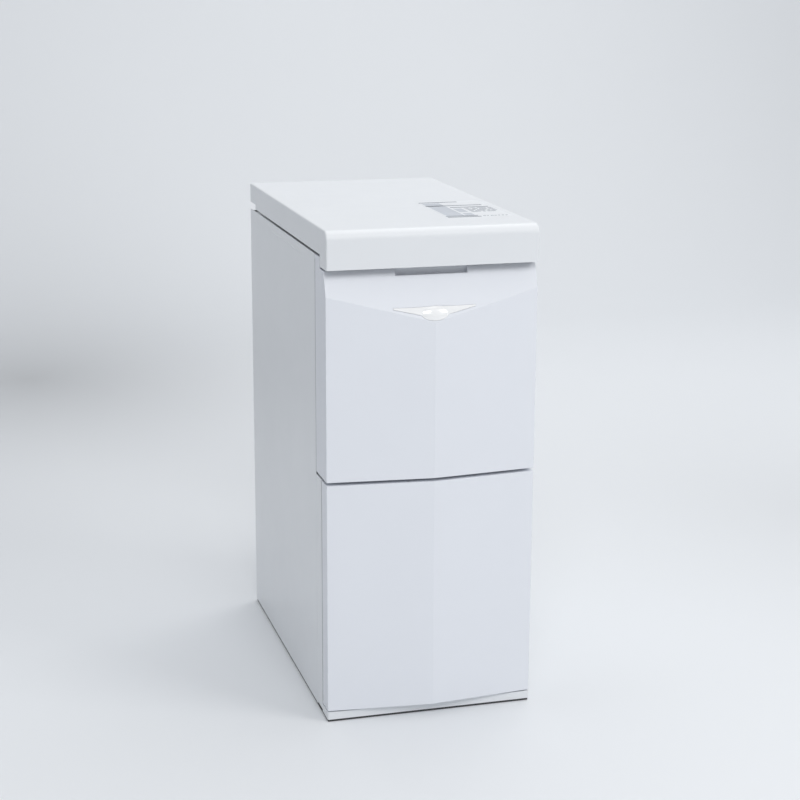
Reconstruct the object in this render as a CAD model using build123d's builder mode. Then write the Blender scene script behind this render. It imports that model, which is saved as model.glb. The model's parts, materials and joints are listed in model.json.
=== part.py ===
"""Free-standing 15-inch trash compactor: hinged lid, pull-out waste drawer and a screw-driven ram.

Millimetres. +Z is up, the front faces -Y, and the origin is on the floor under the middle of the machine.
"""

from build123d import *
import os

os.makedirs("parts", exist_ok=True)

# ---- Driving dimensions -------------------------------------------------------------------------
width = 381
depth = 667
height = 889
prow = 18  # how far the crease of the front panels stands forward of their ends
sheet = 1.2  # cabinet side and rear sheet
front_wall = 2.5  # wall of the moulded front panels
running_gap = 0.4  # clearance between pieces that slide past each other

# ---- Places worked out from them ----------------------------------------------------------------
half_width = width / 2
face = -depth / 2 + prow  # plane of the front panels where they meet the sides
rear = depth / 2
sides = (("left", -1), ("right", 1))
on_its_end = (Align.CENTER, Align.CENTER, Align.MIN)

# Heights of the cabinet, from the floor up
foot_height = 5
base_bottom = 5
base_top = 9
panel_bottom = 4
plinth_top = 18.5
drawer_bottom = 21
drawer_top = 442
fascia_bottom = 448
bevel_start = 776  # where the fascia's leaning band starts at its two ends
lean = 0.364  # how far that band leans back for each unit of height
ledge_height = 818
deck_top = 838
lid_bottom = 843
lid_lip_bottom = 822
lid_rear_bottom = 852

# Depths behind the front face
drawer_cheek_end = face + 38
post_front = face + 42
post_back = face + 77.4
fascia_end = face + 78
side_panel_front = face + 81
ledge_back = face + 45
rear_post_front = face + 602
rear_post_back = face + 635
rear_panel_front = face + 636
chamber_back = face + 436

# Posts and the compacting gear
post_inner = 163
post_wall = 2
screw_x = 168
screw_y = face + 228
screw_radius = 8
fit = 0.06  # radial clearance of shafts, pins and the nuts on their screws
platen_rest = 500
crosshead_rest = 720
motor_y = face + 500


def block(x_range, y_range, z_range, mode=Mode.ADD):
    """A box between two opposite corners, in the part being built."""
    ranges = (x_range, y_range, z_range)
    middle = [(low + high) / 2 for low, high in ranges]
    with Locations(tuple(middle)):
        Box(*[high - low for low, high in ranges], mode=mode)


def mirrored(sign, near, far):
    """The X range from near to far on one side of the middle."""
    return tuple(sorted((sign * near, sign * far)))


def rod(x, y, low, high, radius, mode=Mode.ADD):
    """An upright cylinder between two heights, in the part being built."""
    with Locations((x, y, low)):
        Cylinder(radius, high - low, align=on_its_end, mode=mode)


def cross_rod(x_range, y, z, radius, mode=Mode.ADD):
    """A cylinder along X, in the part being built."""
    with Locations(Location(((x_range[0] + x_range[1]) / 2, y, z), (0, 90, 0))):
        Cylinder(radius, x_range[1] - x_range[0], mode=mode)


def prow_prism(inset, low, high, back):
    """An upright prism with the creased plan of the front panels, inset all round."""
    with BuildSketch(Plane.XY.offset(low)) as plan:
        with BuildLine():
            Polyline(
                (-half_width + inset, back),
                (-half_width + inset, face + inset),
                (0, face - prow + inset),
                (half_width - inset, face + inset),
                (half_width - inset, back),
                close=True,
            )
        make_face()
    extrude(plan.sketch, amount=high - low)


def side_profile(points, reach, mode=Mode.ADD):
    """A side view outline in Y and Z, extruded to both sides of the middle."""
    with BuildSketch(Plane.YZ) as outline:
        with BuildLine():
            Polyline(*points, close=True)
        make_face()
    extrude(outline.sketch, amount=reach, both=True, mode=mode)


def fascia_top_cut(inset):
    """Cuts the leaning band and the ledge that the lid's lip nests over."""
    cut_bottom = 700
    cut_top = 870
    cut_front = face - 80
    shift = inset * (1 + lean**2) ** 0.5
    band_low = face + lean * (cut_bottom - bevel_start) + shift
    band_high = face + lean * (ledge_height - inset - bevel_start) + shift
    side_profile(
        [
            (cut_front, cut_bottom),
            (band_low, cut_bottom),
            (band_high, ledge_height - inset),
            (ledge_back + inset, ledge_height - inset),
            (ledge_back + inset, cut_top),
            (cut_front, cut_top),
        ],
        half_width + 1,
        mode=Mode.SUBTRACT,
    )


# ---- Cabinet sheets -----------------------------------------------------------------------------
post_skin_top = 443  # below this height the front post shows between the drawer front and the side sheet
side_panel_low_front = face + 79

for side, sign in sides:
    with BuildPart() as side_panel:
        with BuildSketch(Plane.YZ.offset(sign * (half_width - sheet / 2))):
            with BuildLine():
                Polyline(
                    (side_panel_low_front, panel_bottom),
                    (side_panel_low_front, post_skin_top),
                    (side_panel_front, post_skin_top),
                    (side_panel_front, deck_top),
                    (rear, deck_top),
                    (rear, panel_bottom),
                    close=True,
                )
            make_face()
        extrude(amount=sheet / 2, both=True)
    side_panel.part.label = f"side_panel_{side}"
    export_step(side_panel.part, f"parts/side_panel_{side}.step")

rear_panel_edge = half_width - sheet - 0.3
rear_panel_bottom = base_top + running_gap
rear_panel_top = deck_top - 2
rear_panel_back = rear_panel_front + sheet
rear_screw_x = 177
rear_screw_heights = (60, 245, 430, 615, 800)
inlet_x = -110
inlet_z = 95
inlet_hole = (48, 28)
louvre_rows = 9
louvre_pitch = 16
louvre_slot = (110, 5)
louvre_columns_apart = 150
screw_head_radius = 4
screw_head_height = 2.4
screw_shank_radius = 2
screw_length = 9
drill = 4 * sheet  # long enough to pass right through the rear sheet

with BuildPart() as rear_panel:
    block(
        (-rear_panel_edge, rear_panel_edge),
        (rear_panel_front, rear_panel_back),
        (rear_panel_bottom, rear_panel_top),
    )
    for louvre_middle in (230, 680):
        with Locations((0, rear_panel_front, louvre_middle)):
            with GridLocations(louvre_columns_apart, 0, 2, 1):
                for row in range(louvre_rows):
                    with Locations((0, 0, (row - (louvre_rows - 1) / 2) * louvre_pitch)):
                        Box(louvre_slot[0], drill, louvre_slot[1], mode=Mode.SUBTRACT)
    with Locations((inlet_x, rear_panel_front, inlet_z)):
        Box(inlet_hole[0], drill, inlet_hole[1], mode=Mode.SUBTRACT)
    for x in (-rear_screw_x, rear_screw_x):
        for z in rear_screw_heights:
            with Locations(Location((x, rear_panel_front, z), (90, 0, 0))):
                Cylinder(screw_shank_radius + 0.3, drill, mode=Mode.SUBTRACT)
rear_panel.part.label = "rear_panel"
export_step(rear_panel.part, "parts/rear_panel.step")

with BuildPart() as rear_screws:
    for x in (-rear_screw_x, rear_screw_x):
        for z in rear_screw_heights:
            seat = (x, rear_panel_back + 0.1, z)
            with Locations(Location(seat, (-90, 0, 0))):
                Cylinder(screw_head_radius, screw_head_height, align=on_its_end)
            with Locations(Location(seat, (90, 0, 0))):
                Cylinder(screw_shank_radius, screw_length, align=on_its_end)
rear_screws.part.label = "rear_screws"
export_step(rear_screws.part, "parts/rear_screws.step")

# ---- Base, plinth and feet ----------------------------------------------------------------------
base_front = post_front
base_back = rear - 4
base_edge = half_width - sheet - 0.1
foot_x = 140
foot_places = [(x, y) for x in (-foot_x, foot_x) for y in (face + 70, face + 600)]
foot_radius = 20
stud_radius = 4
stud_top = 34

with BuildPart() as base_plate:
    block((-base_edge, base_edge), (base_front, base_back), (base_bottom, base_top))
    for x, y in foot_places:
        rod(x, y, base_bottom, base_top, stud_radius + 0.3, mode=Mode.SUBTRACT)
base_plate.part.label = "base_plate"
export_step(base_plate.part, "parts/base_plate.step")

plinth_front = face + 0.5
plinth_back = face + 41
plinth_corner = 3

with BuildPart() as plinth:
    block((-half_width, half_width), (plinth_front, plinth_back), (panel_bottom, plinth_top))
    fillet(plinth.edges().filter_by(Axis.Z).group_by(Axis.Y)[0], radius=plinth_corner)
plinth.part.label = "plinth"
export_step(plinth.part, "parts/plinth.step")

with BuildPart() as levelling_feet:
    for x, y in foot_places:
        rod(x, y, 0, foot_height, foot_radius)
        rod(x, y, foot_height, stud_top, stud_radius)
levelling_feet.part.label = "levelling_feet"
export_step(levelling_feet.part, "parts/levelling_feet.step")

# ---- Frame --------------------------------------------------------------------------------------
post_bottom = base_top + 0.2
post_top = deck_top - 1.6
front_post_top = ledge_height - front_wall - 1
post_outer = half_width - 13  # above the drawer, where the upper panel's cheek stands clear outside it

for side, sign in sides:
    with BuildPart() as front_post:
        block(
            mirrored(sign, post_inner, post_outer),
            (post_front, post_back),
            (post_bottom, front_post_top),
        )
        block(
            mirrored(sign, post_inner, half_width),
            (post_front, post_back),
            (post_bottom, post_skin_top),
        )
        hollow_y = (post_front + post_wall, post_back - post_wall)
        block(
            mirrored(sign, post_inner + post_wall, post_outer - post_wall),
            hollow_y,
            (post_bottom, front_post_top),
            mode=Mode.SUBTRACT,
        )
        block(
            mirrored(sign, post_inner + post_wall, half_width - post_wall),
            hollow_y,
            (post_bottom, post_skin_top - post_wall),
            mode=Mode.SUBTRACT,
        )
    front_post.part.label = f"front_post_{side}"
    export_step(front_post.part, f"parts/front_post_{side}.step")

rear_post_inner = 165
rear_post_outer = 189
for side, sign in sides:
    with BuildPart() as rear_post:
        block(
            mirrored(sign, rear_post_inner, rear_post_outer),
            (rear_post_front, rear_post_back),
            (post_bottom, post_top),
        )
        block(
            mirrored(sign, rear_post_inner + post_wall, rear_post_outer - post_wall),
            (rear_post_front + post_wall, rear_post_back - post_wall),
            (post_bottom, post_top),
            mode=Mode.SUBTRACT,
        )
        for z in rear_screw_heights:
            with Locations(Location((sign * rear_screw_x, rear_post_back, z), (90, 0, 0))):
                Cylinder(screw_shank_radius + 0.1, 3 * post_wall, mode=Mode.SUBTRACT)
    rear_post.part.label = f"rear_post_{side}"
    export_step(rear_post.part, f"parts/rear_post_{side}.step")

header_low = 800
front_header_high = deck_top - front_wall - 2
header_front = face + 50
header_back = face + 75
with BuildPart() as front_header:
    block((-post_inner, post_inner), (header_front, header_back), (header_low, front_header_high))
    block(
        (-post_inner, post_inner),
        (header_front + post_wall, header_back - post_wall),
        (header_low + post_wall, front_header_high - post_wall),
        mode=Mode.SUBTRACT,
    )
front_header.part.label = "front_header"
export_step(front_header.part, "parts/front_header.step")

with BuildPart() as rear_header:
    block((-rear_post_inner, rear_post_inner), (rear_post_front, rear_post_back), (header_low, deck_top))
    block(
        (-rear_post_inner, rear_post_inner),
        (rear_post_front + post_wall, rear_post_back - post_wall),
        (header_low + post_wall, deck_top - post_wall),
        mode=Mode.SUBTRACT,
    )
rear_header.part.label = "rear_header"
export_step(rear_header.part, "parts/rear_header.step")

rail_low = 790
rail_high = 815
rail_inner = 149
rail_outer = 187
for side, sign in sides:
    with BuildPart() as screw_rail:
        block(mirrored(sign, rail_inner, rail_outer), (post_back, rear_post_front), (rail_low, rail_high))
        block(
            mirrored(sign, rail_inner + post_wall, rail_outer - post_wall),
            (post_back, rear_post_front),
            (rail_low + post_wall, rail_high - post_wall),
            mode=Mode.SUBTRACT,
        )
    screw_rail.part.label = f"screw_rail_{side}"
    export_step(screw_rail.part, f"parts/screw_rail_{side}.step")

chamber_half = 148
chamber_sheet = 2
chamber_low = 40
with BuildPart() as chamber_rear_wall:
    block(
        (-chamber_half, chamber_half),
        (chamber_back, chamber_back + chamber_sheet),
        (chamber_low, header_low),
    )
chamber_rear_wall.part.label = "chamber_rear_wall"
export_step(chamber_rear_wall.part, "parts/chamber_rear_wall.step")

# ---- Upper front panel --------------------------------------------------------------------------
notch_half = 65
notch_floor = 806
notch_back = face + 20
scoop_wall = 2.5
fascia_flange_back = face + 30

with BuildPart() as fascia_void:
    prow_prism(front_wall, fascia_bottom + front_wall, deck_top - front_wall, fascia_end + 5)
    fascia_top_cut(front_wall)

badge_middle = 742
badge_plane = Plane(
    origin=(0, face + lean * (badge_middle - bevel_start), badge_middle),
    x_dir=(1, 0, 0),
    z_dir=(0, -1, lean),
)
badge_sink = 1.2
badge_thickness = 2
badge_gap = 0.3
oval_reach = 24.5
oval_rise = 13
wing_reach = 74
wing_top = 12
wing_bottom = 9


def badge_outline(grow):
    """The oval with two tapering wings, in the plane of the leaning band."""
    tip = wing_reach + grow
    top = wing_top + grow
    bottom = wing_bottom - grow
    Ellipse(oval_reach + grow, oval_rise + grow)
    with BuildLine() as wings:
        Spline((0, top + 0.5), (30, top - 0.5), (tip, top))
        Line((tip, top), (tip, bottom))
        Spline((tip, bottom), (36, bottom - 9), (0, -9))
        Spline((0, -9), (-36, bottom - 9), (-tip, bottom))
        Line((-tip, bottom), (-tip, top))
        Spline((-tip, top), (-30, top - 0.5), (0, top + 0.5))
    make_face(wings.edges())


with BuildPart() as fascia:
    prow_prism(0, fascia_bottom, deck_top, fascia_end)
    fascia_top_cut(0)
    add(fascia_void.part, mode=Mode.SUBTRACT)
    block(
        (-half_width + front_wall, half_width - front_wall),
        (fascia_flange_back, fascia_end + 1),
        (fascia_bottom - 1, fascia_bottom + 2 * front_wall),
        mode=Mode.SUBTRACT,
    )
    scoop_bottom = notch_floor - scoop_wall
    side_profile(
        [
            (face + lean * (scoop_bottom - bevel_start), scoop_bottom),
            (face + lean * (ledge_height - bevel_start), ledge_height),
            (notch_back + scoop_wall, ledge_height),
            (notch_back + scoop_wall, scoop_bottom),
        ],
        notch_half + scoop_wall,
    )
    block(
        (-notch_half, notch_half),
        (face, notch_back),
        (notch_floor, ledge_height + 1),
        mode=Mode.SUBTRACT,
    )
    with BuildSketch(badge_plane.offset(-badge_sink)):
        badge_outline(badge_gap)
    extrude(amount=2 * badge_thickness, mode=Mode.SUBTRACT)
fascia.part.label = "fascia"
export_step(fascia.part, "parts/fascia.step")

with BuildPart() as badge:
    with BuildSketch(badge_plane.offset(-badge_sink)):
        badge_outline(0)
    extrude(amount=badge_thickness)
badge.part.label = "badge"
export_step(badge.part, "parts/badge.step")

# ---- Top deck, console and filter ---------------------------------------------------------------
deck_sheet = 1.5
deck_bottom = deck_top - deck_sheet
console_half = 80
console_y = (face + 110, face + 180)
console_top = deck_top + 4
console_bottom = 800
console_rim = 8  # how far the console's flange overlaps the deck
console_wall = 2
filter_x_half = 98
filter_y = (face + 312, face + 408)
filter_bottom = 798
filter_rim = 10
sensor_height = 9

console_middle = (console_y[0] + console_y[1]) / 2
filter_middle = (filter_y[0] + filter_y[1]) / 2
well_half = console_half - console_rim
well_y = (console_y[0] + 5, console_y[1] - 5)

with BuildPart() as top_deck:
    block((-base_edge, base_edge), (fascia_end + 1, rear_post_front - 1), (deck_bottom, deck_top))
    block(
        (-well_half - 1, well_half + 1),
        (well_y[0] - 1, well_y[1] + 1),
        (deck_bottom, deck_top),
        mode=Mode.SUBTRACT,
    )
    block(
        (-filter_x_half - 2, filter_x_half + 2),
        (filter_y[0] - 2, filter_y[1] + 2),
        (deck_bottom, deck_top),
        mode=Mode.SUBTRACT,
    )
top_deck.part.label = "top_deck"
export_step(top_deck.part, "parts/top_deck.step")

button_x = (-48, -6)
key_x = 42
button_radius = 11
button_stand = 5
key_radius = 9
key_stand = 2
key_bow = (4, 16, 9)  # width, length and height of the key's bow
guide_depth = 8
with BuildPart() as control_console:
    block((-console_half, console_half), console_y, (deck_top, console_top))
    block((-well_half, well_half), well_y, (console_bottom, deck_top))
    block(
        (-well_half + console_wall, well_half - console_wall),
        (well_y[0] + console_wall, well_y[1] - console_wall),
        (console_bottom + console_wall, deck_top),
        mode=Mode.SUBTRACT,
    )
    for x, radius in ((button_x[0], button_radius), (button_x[1], button_radius), (key_x, key_radius)):
        rod(x, console_middle, deck_top - 2, console_top, radius + running_gap, mode=Mode.SUBTRACT)
control_console.part.label = "control_console"
export_step(control_console.part, "parts/control_console.step")

for name, x in zip(("start_button", "stop_button"), button_x):
    with BuildPart() as button:
        rod(x, console_middle, deck_top - guide_depth, console_top + button_stand, button_radius)
        fillet(button.faces().sort_by(Axis.Z)[-1].edges(), radius=1.5)
    button.part.label = name
    export_step(button.part, f"parts/{name}.step")

with BuildPart() as key_switch:
    rod(key_x, console_middle, deck_top - guide_depth, console_top + key_stand, key_radius)
    block(
        (key_x - key_bow[0] / 2, key_x + key_bow[0] / 2),
        (console_middle - key_bow[1] / 2, console_middle + key_bow[1] / 2),
        (console_top, console_top + key_bow[2]),
    )
key_switch.part.label = "key_switch"
export_step(key_switch.part, "parts/key_switch.step")

cell_pitch = 16
with BuildPart() as filter_cartridge:
    block((-filter_x_half, filter_x_half), filter_y, (filter_bottom, deck_top - 1))
    with BuildSketch(Plane.XY.offset(filter_bottom)):
        with Locations((0, filter_middle)):
            with GridLocations(cell_pitch, cell_pitch, 11, 5):
                RegularPolygon(6, 6)
    extrude(amount=deck_top - 1 - filter_bottom, mode=Mode.SUBTRACT)
filter_cartridge.part.label = "filter_cartridge"
export_step(filter_cartridge.part, "parts/filter_cartridge.step")

cover_thickness = 3.5
slot_length = 180
slot_width = 6
slot_pitch = 12
with BuildPart() as filter_cover:
    block(
        (-filter_x_half - filter_rim, filter_x_half + filter_rim),
        (filter_y[0] - filter_rim, filter_y[1] + filter_rim),
        (deck_top, deck_top + cover_thickness),
    )
    with Locations((0, filter_middle, deck_top)):
        with GridLocations(0, slot_pitch, 1, 8):
            Box(slot_length, slot_width, 3 * cover_thickness, mode=Mode.SUBTRACT)
filter_cover.part.label = "filter_cover"
export_step(filter_cover.part, "parts/filter_cover.step")

with BuildPart() as lid_sensor:
    block((150, 172), (face + 95, face + 125), (deck_top, deck_top + sensor_height))
    fillet(lid_sensor.edges().filter_by(Axis.Z), radius=3)
lid_sensor.part.label = "lid_sensor"
export_step(lid_sensor.part, "parts/lid_sensor.step")

# ---- Lid ----------------------------------------------------------------------------------------
lid_front = face - 5.5
lid_lip_back = face + 42
lid_wall = 2
lid_relief_start = face + 598
lid_brow = 17  # radius of the lid's front top edge
lid_rear = rear
hinge_x = 130
leaf_bottom = 884
label_x = (57, 177)
label_y = (face + 100, face + 300)
label_recess = 0.5
label_gap = 0.2
lid_corner = 3
bracket_clearance = 13  # half the width of the lid notches that clear the hinge brackets

with BuildPart() as lid_cavity:
    side_profile(
        [
            (lid_front + lid_wall, lid_lip_bottom - 1),
            (lid_front + lid_wall, height - lid_wall),
            (lid_rear - lid_wall, height - lid_wall),
            (lid_rear - lid_wall, lid_lip_bottom - 1),
        ],
        half_width - lid_wall,
    )
    inner_brow = lid_cavity.edges().filter_by(Axis.X).group_by(Axis.Z)[-1].sort_by(Axis.Y)[0]
    fillet(inner_brow, radius=lid_brow - lid_wall)

with BuildPart() as lid_shell:
    side_profile(
        [
            (lid_front, lid_lip_bottom),
            (lid_front, height),
            (lid_rear, height),
            (lid_rear, lid_rear_bottom),
            (lid_relief_start, lid_rear_bottom),
            (lid_relief_start, lid_bottom),
            (lid_lip_back, lid_bottom),
            (lid_lip_back, lid_lip_bottom),
        ],
        half_width,
    )
    fillet(lid_shell.edges().filter_by(Axis.X).group_by(Axis.Z)[-1].sort_by(Axis.Y)[0], radius=lid_brow)
    side_edges = lid_shell.edges().filter_by(lambda edge: abs(edge.center().X) > half_width - 0.1)
    front_and_top = side_edges.filter_by(
        lambda edge: edge.center().Z > height - 1
        or (edge.center().Y < lid_front + lid_brow and edge.center().Z > lid_bottom)
    )
    fillet(front_and_top, radius=lid_corner)
    add(lid_cavity.part, mode=Mode.SUBTRACT)
    block(label_x, label_y, (height - label_recess, height + 1), mode=Mode.SUBTRACT)
    for sign in (-1, 1):
        block(
            mirrored(sign, hinge_x - bracket_clearance, hinge_x + bracket_clearance),
            (lid_rear - 2 * lid_wall, lid_rear + 1),
            (lid_lip_bottom, leaf_bottom),
            mode=Mode.SUBTRACT,
        )
lid_shell.part.label = "lid_shell"
export_step(lid_shell.part, "parts/lid_shell.step")

with BuildPart() as lid_label:
    block(
        (label_x[0] + label_gap, label_x[1] - label_gap),
        (label_y[0] + label_gap, label_y[1] - label_gap),
        (height - label_recess, height - 0.05),
    )
lid_label.part.label = "lid_label"
export_step(lid_label.part, "parts/lid_label.step")

liner_bottom = 858
liner_wall = 3
liner_x = 184
liner_y = (face + 46, face + 556)
seal_height = 3

with BuildPart() as lid_liner:
    block((-liner_x, liner_x), liner_y, (liner_bottom, height - lid_wall))
    block(
        (-liner_x + liner_wall, liner_x - liner_wall),
        (liner_y[0] + liner_wall, liner_y[1] - liner_wall),
        (liner_bottom + liner_wall, height),
        mode=Mode.SUBTRACT,
    )
lid_liner.part.label = "lid_liner"
export_step(lid_liner.part, "parts/lid_liner.step")

with BuildPart() as lid_seal:
    for inset, mode in ((4, Mode.ADD), (10, Mode.SUBTRACT)):
        block(
            (-liner_x + inset, liner_x - inset),
            (liner_y[0] + inset, liner_y[1] - inset),
            (liner_bottom - seal_height, liner_bottom),
            mode=mode,
        )
lid_seal.part.label = "lid_seal"
export_step(lid_seal.part, "parts/lid_seal.step")

hinge_y = face + 632
hinge_z = 862
knuckle_radius = 7
pin_radius = 3
leaf_top = height - lid_wall
leaf_half = 22  # half the length of each hinge
web_half = 10
ear_gap = 0.4
foot_thickness = 3


def hinge_span(sign, half, extra=0):
    """The X range of a piece centred on one hinge."""
    return mirrored(sign, hinge_x - half - extra, hinge_x + half + extra)


with BuildPart() as lid_hinge_leaves:
    for sign in (-1, 1):
        block(hinge_span(sign, leaf_half), (hinge_y - 72, hinge_y + 8), (leaf_bottom, leaf_top))
        for near, far in ((-leaf_half, -web_half - ear_gap), (web_half + ear_gap, leaf_half)):
            ear = mirrored(sign, hinge_x + near, hinge_x + far)
            block(ear, (hinge_y - 10, hinge_y + 8), (hinge_z, leaf_bottom))
            cross_rod(ear, hinge_y, hinge_z, knuckle_radius)
        cross_rod(hinge_span(sign, leaf_half), hinge_y, hinge_z, pin_radius + fit, mode=Mode.SUBTRACT)
lid_hinge_leaves.part.label = "lid_hinge_leaves"
export_step(lid_hinge_leaves.part, "parts/lid_hinge_leaves.step")

with BuildPart() as hinge_brackets:
    for sign in (-1, 1):
        bracket_foot_y = (hinge_y - 26, hinge_y + 2)
        web_y = (hinge_y - knuckle_radius, hinge_y + knuckle_radius)
        block(hinge_span(sign, leaf_half), bracket_foot_y, (deck_top, deck_top + foot_thickness))
        block(hinge_span(sign, web_half), web_y, (deck_top, hinge_z))
        cross_rod(hinge_span(sign, web_half), hinge_y, hinge_z, knuckle_radius)
        cross_rod(hinge_span(sign, web_half), hinge_y, hinge_z, pin_radius + fit, mode=Mode.SUBTRACT)
hinge_brackets.part.label = "hinge_brackets"
export_step(hinge_brackets.part, "parts/hinge_brackets.step")

with BuildPart() as hinge_pins:
    for sign in (-1, 1):
        cross_rod(hinge_span(sign, leaf_half, 1), hinge_y, hinge_z, pin_radius)
hinge_pins.part.label = "hinge_pins"
export_step(hinge_pins.part, "parts/hinge_pins.step")

# ---- Drawer -------------------------------------------------------------------------------------
with BuildPart() as drawer_void:
    prow_prism(front_wall, drawer_bottom + front_wall, drawer_top - front_wall, drawer_cheek_end + 5)

with BuildPart() as drawer_front:
    prow_prism(0, drawer_bottom, drawer_top, drawer_cheek_end)
    add(drawer_void.part, mode=Mode.SUBTRACT)
drawer_front.part.label = "drawer_front"
export_step(drawer_front.part, "parts/drawer_front.step")

inner_panel_front = face + 30
inner_panel_back = face + 32
skin_gap = 0.2  # between the inner panel's edges and the drawer front's skin
panel_edge = half_width - front_wall - skin_gap
with BuildPart() as drawer_inner_panel:
    block(
        (-panel_edge, panel_edge),
        (inner_panel_front, inner_panel_back),
        (drawer_bottom + front_wall + skin_gap, drawer_top - front_wall - skin_gap),
    )
drawer_inner_panel.part.label = "drawer_inner_panel"
export_step(drawer_inner_panel.part, "parts/drawer_inner_panel.step")

drawer_end = face + 422
drawer_floor_z = 44
drawer_sheet = 2
drawer_side_top = 200
side_inner = 145
side_outer = 147
inner_rail_outer = 152
middle_inner = 149.8
middle_outer = 155.4
outer_outer = 157.4
runner_middle_z = 82.5
inner_rail_half = 10
middle_half = 19
outer_half = 21
runner_front = face + 50
runner_back = chamber_back - 4
with BuildPart() as drawer_floor:
    block(
        (-side_inner, side_inner),
        (inner_panel_back, drawer_end),
        (drawer_floor_z, drawer_floor_z + drawer_sheet),
    )
drawer_floor.part.label = "drawer_floor"
export_step(drawer_floor.part, "parts/drawer_floor.step")

for side, sign in sides:
    with BuildPart() as drawer_side:
        block(
            mirrored(sign, side_inner, side_outer),
            (inner_panel_back, drawer_end),
            (drawer_floor_z, drawer_side_top),
        )
        block(
            mirrored(sign, side_outer, inner_rail_outer),
            (inner_panel_back + 4, drawer_end),
            (runner_middle_z - inner_rail_half, runner_middle_z + inner_rail_half),
        )
    drawer_side.part.label = f"drawer_side_{side}"
    export_step(drawer_side.part, f"parts/drawer_side_{side}.step")

    with BuildPart() as runner_middle:
        block(
            mirrored(sign, middle_inner, middle_outer),
            (runner_front, runner_back),
            (runner_middle_z - middle_half, runner_middle_z + middle_half),
        )
        channel_half = inner_rail_half + running_gap
        block(
            mirrored(sign, middle_inner, inner_rail_outer + running_gap),
            (runner_front, runner_back),
            (runner_middle_z - channel_half, runner_middle_z + channel_half),
            mode=Mode.SUBTRACT,
        )
    runner_middle.part.label = f"runner_middle_{side}"
    export_step(runner_middle.part, f"parts/runner_middle_{side}.step")

    with BuildPart() as runner_outer:
        block(
            mirrored(sign, middle_inner, outer_outer),
            (runner_front - 6, runner_back + 2),
            (runner_middle_z - outer_half, runner_middle_z + outer_half),
        )
        channel_half = middle_half + running_gap
        block(
            mirrored(sign, middle_inner, middle_outer + running_gap),
            (runner_front - 6, runner_back + 2),
            (runner_middle_z - channel_half, runner_middle_z + channel_half),
            mode=Mode.SUBTRACT,
        )
        block(
            mirrored(sign, outer_outer, post_inner),
            (runner_front - 6, runner_front + 20),
            (runner_middle_z - 15, runner_middle_z + 15),
        )
    runner_outer.part.label = f"runner_outer_{side}"
    export_step(runner_outer.part, f"parts/runner_outer_{side}.step")

bin_half = 140
bin_wall = 3
bin_y = (face + 41, face + 415)
bin_low = drawer_floor_z + drawer_sheet + 0.2
bin_high = 436
bin_corner = 16
rim_height = 8
rim_reach = 4
bin_middle = (bin_y[0] + bin_y[1]) / 2


def bin_plan(level, grow):
    """The bin's rounded plan at one height, grown all round."""
    with BuildSketch(Plane.XY.offset(level)) as plan:
        with Locations((0, bin_middle)):
            RectangleRounded(2 * (bin_half + grow), bin_y[1] - bin_y[0] + 2 * grow, bin_corner + grow)
    return plan.sketch


with BuildPart() as waste_bin:
    extrude(bin_plan(bin_low, 0), amount=bin_high - bin_low)
    extrude(bin_plan(bin_high - rim_height, rim_reach), amount=rim_height)
    extrude(bin_plan(bin_low + bin_wall, -bin_wall), amount=bin_high, mode=Mode.SUBTRACT)
waste_bin.part.label = "waste_bin"
export_step(waste_bin.part, "parts/waste_bin.step")

clip_half = 12
clip_height = 16
clip_wall = 2
with BuildPart() as bag_clips:
    for sign in (-1, 1):
        for y in (face + 130, face + 326):
            clip_y = (y - clip_half, y + clip_half)
            clip_inner = bin_half - 6
            clip_outer = bin_half + 7
            clip_top = bin_high + 2
            block(mirrored(sign, clip_inner, clip_outer), clip_y, (clip_top - clip_height, clip_top))
            block(
                mirrored(sign, clip_inner + clip_wall, clip_outer - clip_wall),
                clip_y,
                (clip_top - clip_height, bin_high + 0.2),
                mode=Mode.SUBTRACT,
            )
bag_clips.part.label = "bag_clips"
export_step(bag_clips.part, "parts/bag_clips.step")

# ---- Touch latch --------------------------------------------------------------------------------
latch_x = 155
latch_z = 315
plunger_radius = 4
latch_front = face + 42
plunger_front = inner_panel_back + 0.5
plunger_back = face + 64


def lengthwise_rod(x, z, y_range, radius, mode=Mode.ADD):
    """A cylinder along Y, in the part being built."""
    with Locations(Location((x, (y_range[0] + y_range[1]) / 2, z), (90, 0, 0))):
        Cylinder(radius, y_range[1] - y_range[0], mode=mode)


with BuildPart() as latch_housing:
    block((side_outer, post_inner), (latch_front, latch_front + 34), (latch_z - 15, latch_z + 15))
    lengthwise_rod(
        latch_x,
        latch_z,
        (latch_front - 30, latch_front + 30),
        plunger_radius + running_gap,
        mode=Mode.SUBTRACT,
    )
latch_housing.part.label = "latch_housing"
export_step(latch_housing.part, "parts/latch_housing.step")

with BuildPart() as latch_plunger:
    lengthwise_rod(latch_x, latch_z, (plunger_front, plunger_back), plunger_radius)
latch_plunger.part.label = "latch_plunger"
export_step(latch_plunger.part, "parts/latch_plunger.step")

# ---- Ram ----------------------------------------------------------------------------------------
platen_half = 126
platen_y = (face + 55, face + 401)
platen_thickness = 10
with BuildPart() as ram_platen:
    block((-platen_half, platen_half), platen_y, (platen_rest, platen_rest + platen_thickness))
    fillet(ram_platen.edges().filter_by(Axis.Z), radius=10)
    chamfer(ram_platen.faces().sort_by(Axis.Z)[0].edges(), length=3)
ram_platen.part.label = "ram_platen"
export_step(ram_platen.part, "parts/ram_platen.step")

plate_outer = 116
plate_inner = 110
plate_foot = 130  # half the length of a side plate where it stands on the platen
beam_half = 20  # half the depth of the crosshead beam
beam_height = 35
beam_wall = 3
nut_half = 18

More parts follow.
